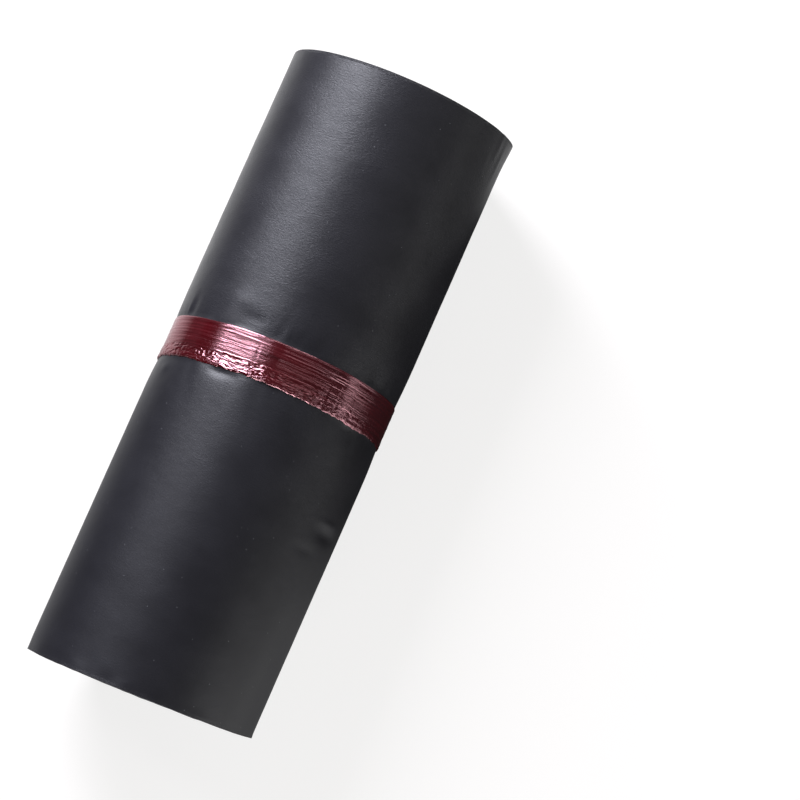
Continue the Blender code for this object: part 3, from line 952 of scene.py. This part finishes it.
def red_film_finish():
    """Glossy crimson film: darker and lighter strands along it, with a sharp fine texture."""
    finish = Finish("red_film_finish", IOR=FILM_IOR, Specular_Tint=RED_SHEEN)
    strands = finish.noise(finish.surface_uv(*STRAND_SIZE), detail=2.0, roughness=0.6)
    shade = finish.noise(finish.surface_uv(*SHADE_SIZE), detail=2.0)
    tone = finish.math("MULTIPLY", strands, STRAND_TONE)
    tone = finish.math("ADD", tone, finish.math("MULTIPLY", shade, SHADE_TONE))
    tone = finish.spread(tone, *FILM_TONE_RANGE)
    finish.feed("Base Color", finish.blend(tone, DARK_CRIMSON, CRIMSON))
    fine = finish.noise(finish.surface_uv(*FILM_LINE_SIZE), detail=2.0, roughness=0.6)
    finish.feed("Normal", finish.bump(fine, FILM_LINE_DEPTH))
    finish.feed("Roughness", finish.spread(strands, *MIDDLE_RANGE, *FILM_ROUGHNESS))
    return finish.material


def liner_finish():
    """Thin whitish release film with fine creases."""
    finish = Finish("liner_finish", Roughness=LINER_ROUGHNESS)
    creases = finish.noise(finish.surface_uv(*LINER_CREASE_SIZE), detail=3.0, roughness=0.6)
    finish.feed("Normal", finish.bump(creases, LINER_CREASE_DEPTH))
    flecks = finish.noise(finish.surface_uv(*LINER_FLECK_SIZE), detail=2.0)
    fleck_share = finish.spread(flecks, *LINER_FLECK_RANGE, LINER_FLECK_LEAST, 1.0)
    pale = finish.math("MULTIPLY", finish.spread(creases, *LINER_CREASE_RANGE), fleck_share)
    finish.feed("Base Color", finish.blend(pale, LINER_GREY, LINER_WHITE))
    return finish.material


# The soft boxes' distances from the roll's axis, the share of their place along X that they aim
# at, and the height of the roll's axis
PANEL_DISTANCE = 0.95
END_PANEL_DISTANCE = 0.16
PANEL_AIM = 0.3
ROLL_MIDDLE = 0.05

# The stage: a floor that turns up into a low wall all round. The camera sees it white. It is dark
# for the light that falls on the roll, with soft pale cards on it that only the roll's gloss shows
STAGE_RADIUS = 3.5
STAGE_RINGS = (0.0, 0.5, 1.5, STAGE_RADIUS)
STAGE_BEND = 0.6
STAGE_WALL = 0.5
STAGE_BEND_STEPS = 12
STAGE_SIDES = 96
FLOOR_DROP = 0.0002
FLOOR_COLOUR = (0.30, 0.285, 0.27, 1.0)
FLOOR_DARK = (0.03, 0.03, 0.03, 1.0)
FLOOR_GLOW = 0.77
GLOSSY_GLOW = 0.01
LEFT_CARD = 1.34
LOW_RIGHT_CARD = 1.0
HIGH_RIGHT_CARD = 0.85

# The borders of the cards, as places along X or Y. Each runs from where the card is gone or weak
# to where it is full
LEFT_OUTSIDE_Y = (0.20, 0.08)
LEFT_INSIDE_Y = (0.02, 0.05)
LEFT_X = (-0.03, 0.03)
LEFT_WEAK = 0.40
RIGHT_INSIDE_Y = (-0.03, -0.05)
LOW_RIGHT_Y = (-0.07, -0.28)
LOW_RIGHT_WEAK = 0.15
LOW_RIGHT_X = (-0.028, -0.088)
HIGH_RIGHT_X = (0.113, 0.143)
HIGH_RIGHT_NEAR_Y = (-0.13, -0.09)
HIGH_RIGHT_WEAK = 0.35
HIGH_RIGHT_FAR_Y = (-0.18, -0.28)
HIGH_RIGHT_FAR_MORE = 0.45
HIGH_RIGHT_OUTSIDE_Y = (-0.45, -0.30)

# Colours of the light
KEY_COLOUR = (0.95, 0.96, 1.07)
WHITE_LIGHT = (1.0, 1.0, 1.0)
WHITE_GLOW = (1.0, 1.0, 1.0, 1.0)
WORLD_LIGHT = (0.035, 0.035, 0.035, 1.0)


def stage_profile():
    """(radius, height) from the middle of the floor out and up the wall."""
    profile = [(radius, 0.0) for radius in STAGE_RINGS]
    for k in range(1, STAGE_BEND_STEPS + 1):
        turn = math.pi / 2 * k / STAGE_BEND_STEPS
        profile.append((STAGE_RADIUS + STAGE_BEND * math.sin(turn), STAGE_BEND * (1 - math.cos(turn))))
    profile.append((STAGE_RADIUS + STAGE_BEND, STAGE_BEND + STAGE_WALL))
    return profile


def stage_material():
    """White to the camera, dark to the roll, with soft pale cards that its gloss shows."""
    finish = Finish("stage_white", Roughness=1.0, Specular_IOR_Level=0.0)
    path = finish.node("ShaderNodeLightPath").outputs
    finish.feed("Base Color", finish.blend(path["Is Camera Ray"], FLOOR_DARK, FLOOR_COLOUR))
    place = finish.node("ShaderNodeTexCoord").outputs["Object"]
    x, y = finish.node("ShaderNodeSeparateXYZ", {0: place}).outputs[:2]
    left = finish.math("MULTIPLY", finish.spread(y, *LEFT_OUTSIDE_Y), finish.spread(y, *LEFT_INSIDE_Y))
    left = finish.math("MULTIPLY", left, finish.spread(x, *LEFT_X, LEFT_WEAK, 1.0))
    left = finish.math("MULTIPLY", left, LEFT_CARD)
    inside = finish.spread(y, *RIGHT_INSIDE_Y)
    low = finish.spread(y, *LOW_RIGHT_Y, LOW_RIGHT_WEAK, 1.0)
    low = finish.math("MULTIPLY", low, finish.spread(x, *LOW_RIGHT_X, 0.0, LOW_RIGHT_CARD))
    low = finish.math("MULTIPLY", low, inside)
    near = finish.spread(y, *HIGH_RIGHT_NEAR_Y, HIGH_RIGHT_WEAK, 1.0)
    far = finish.spread(y, *HIGH_RIGHT_FAR_Y, 0.0, HIGH_RIGHT_FAR_MORE)
    high = finish.math("MULTIPLY", inside, finish.math("ADD", near, far))
    high = finish.math("MULTIPLY", high, finish.spread(x, *HIGH_RIGHT_X))
    high = finish.math("MULTIPLY", high, finish.spread(y, *HIGH_RIGHT_OUTSIDE_Y))
    high = finish.math("MULTIPLY", high, HIGH_RIGHT_CARD)
    cards = finish.math("ADD", finish.math("ADD", low, high), left)
    gloss = finish.math("MULTIPLY", path["Is Glossy Ray"], finish.math("ADD", cards, GLOSSY_GLOW))
    seen = finish.math("MAXIMUM", path["Is Camera Ray"], path["Is Transmission Ray"])
    glow = finish.math("ADD", gloss, finish.math("MULTIPLY", seen, FLOOR_GLOW))
    finish.shader.inputs["Emission Color"].default_value = WHITE_GLOW
    finish.feed("Emission Strength", glow)
    return finish.material


def make_stage():
    """A turned bowl with a flat floor."""
    vertices, faces = [], []
    profile = stage_profile()
    for radius, height in profile:
        for k in range(STAGE_SIDES):
            turn = math.tau * k / STAGE_SIDES
            vertices.append((radius * math.cos(turn), radius * math.sin(turn), height - FLOOR_DROP))
    for ring in range(len(profile) - 1):
        for k in range(STAGE_SIDES):
            a, b = ring * STAGE_SIDES + k, ring * STAGE_SIDES + (k + 1) % STAGE_SIDES
            faces.append((a, a + STAGE_SIDES, b + STAGE_SIDES, b))
    obj = make_mesh_object("studio_floor", np.array(vertices), faces)
    obj.data.materials.append(stage_material())


def matrix_from_axes(right, up, back, place):
    """A world matrix from three axes and a place."""
    rows = [(right[k], up[k], back[k], place[k]) for k in range(3)]
    return Matrix((*rows, (0.0, 0.0, 0.0, 1.0)))


# Each soft box: its name, degrees from straight over the roll towards +Y, place along X, size along
# the roll and round it, power in watts, colour, and distance from the roll's axis
PANELS = [
    ("key_panel", 54.0, 0.65, (0.40, 0.72), 22.5, KEY_COLOUR, PANEL_DISTANCE),
    ("left_fill", 48.0, 0.10, (0.10, 0.80), 1.0, KEY_COLOUR, PANEL_DISTANCE),
    ("top_panel", -25.0, 0.55, (0.25, 1.00), 0.8, WHITE_LIGHT, PANEL_DISTANCE),
    ("right_panel", -66.0, -0.44, (0.30, 0.66), 2.5, WHITE_LIGHT, PANEL_DISTANCE),
    ("low_end_panel", 0.0, -1.10, (0.30, 0.60), 7.0, WHITE_LIGHT, END_PANEL_DISTANCE),
    ("high_end_panel", 0.0, 1.10, (0.30, 0.60), 2.5, WHITE_LIGHT, END_PANEL_DISTANCE),
    ("high_right_panel", -75.0, 0.43, (0.32, 0.20), 0.42, WHITE_LIGHT, PANEL_DISTANCE),
    ("small_panel", -68.0, 0.12, (0.10, 0.12), 0.03, WHITE_LIGHT, PANEL_DISTANCE),
]


def add_panel(name, tilt, x, size, power, colour, distance):
    """A soft box beside the roll, turned part of the way to the roll's middle."""
    light = bpy.data.lights.new(name, "AREA")
    light.shape = "RECTANGLE"
    light.size, light.size_y = size
    light.energy = power
    light.color = colour
    obj = bpy.data.objects.new(name, light)
    turn = math.radians(tilt)
    place = Vector((x, distance * math.sin(turn), ROLL_MIDDLE + distance * math.cos(turn)))
    back = (place - Vector((x * PANEL_AIM, 0.0, ROLL_MIDDLE))).normalized()
    side = Vector((1.0, 0.0, 0.0))
    side = (side - side.project(back)).normalized()
    obj.matrix_world = matrix_from_axes(side, back.cross(side), back, place)
    bpy.context.scene.collection.objects.link(obj)


# The camera, fitted to the roll's corners in the photograph: its place, the direction straight
# back from its view, the direction up in its picture, and its lens and sensor in millimetres
CAMERA_PLACE = (-0.1182, -0.0126, 1.2682)
CAMERA_BACK = (-0.1112, 0.0316, 0.9933)
CAMERA_UP = (0.9100, 0.4049, 0.0890)
CAMERA_LENS = 128.0
CAMERA_SENSOR = 36.0
CAMERA_NEAREST = 0.01


def add_camera():
    """Looks down on the roll, with the roll's +X end up to the right."""
    camera = bpy.data.cameras.new("camera")
    camera.sensor_width = CAMERA_SENSOR
    camera.lens = CAMERA_LENS
    camera.clip_start = CAMERA_NEAREST
    obj = bpy.data.objects.new("camera", camera)
    back = Vector(CAMERA_BACK).normalized()
    right = Vector(CAMERA_UP).cross(back).normalized()
    obj.matrix_world = matrix_from_axes(right, back.cross(right), back, CAMERA_PLACE)
    bpy.context.scene.collection.objects.link(obj)
    bpy.context.scene.camera = obj


def add_lights():
    """A strong soft box on the left past the high end, weak ones round the roll, one at each end."""
    world = bpy.data.worlds.new("studio")
    world.use_nodes = True
    world.node_tree.nodes["Background"].inputs["Color"].default_value = WORLD_LIGHT
    bpy.context.scene.world = world
    for panel in PANELS:
        add_panel(*panel)


def main():
    """Builds the roll's pieces, the stage, the lights and the camera."""
    bpy.context.scene.view_settings.view_transform = "Standard"
    add_camera()
    strip = Strip()
    black, red, white = black_film_finish(), red_film_finish(), liner_finish()
    for name, side in (("roll_low_half", -1), ("roll_high_half", 1)):
        half = make_roll_half(name, strip, side, black)
        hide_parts("mailer_roll")
        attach(half, "root")
    film = make_tearing_film(strip, red)
    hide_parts("binding_film")
    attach(film, "root")
    for number in range(LINER_COUNT):
        liner = make_liner(number, white)
        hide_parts(f"release_liner_{number + 1}")
        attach(liner, "root")
    make_stage()
    add_lights()


main()
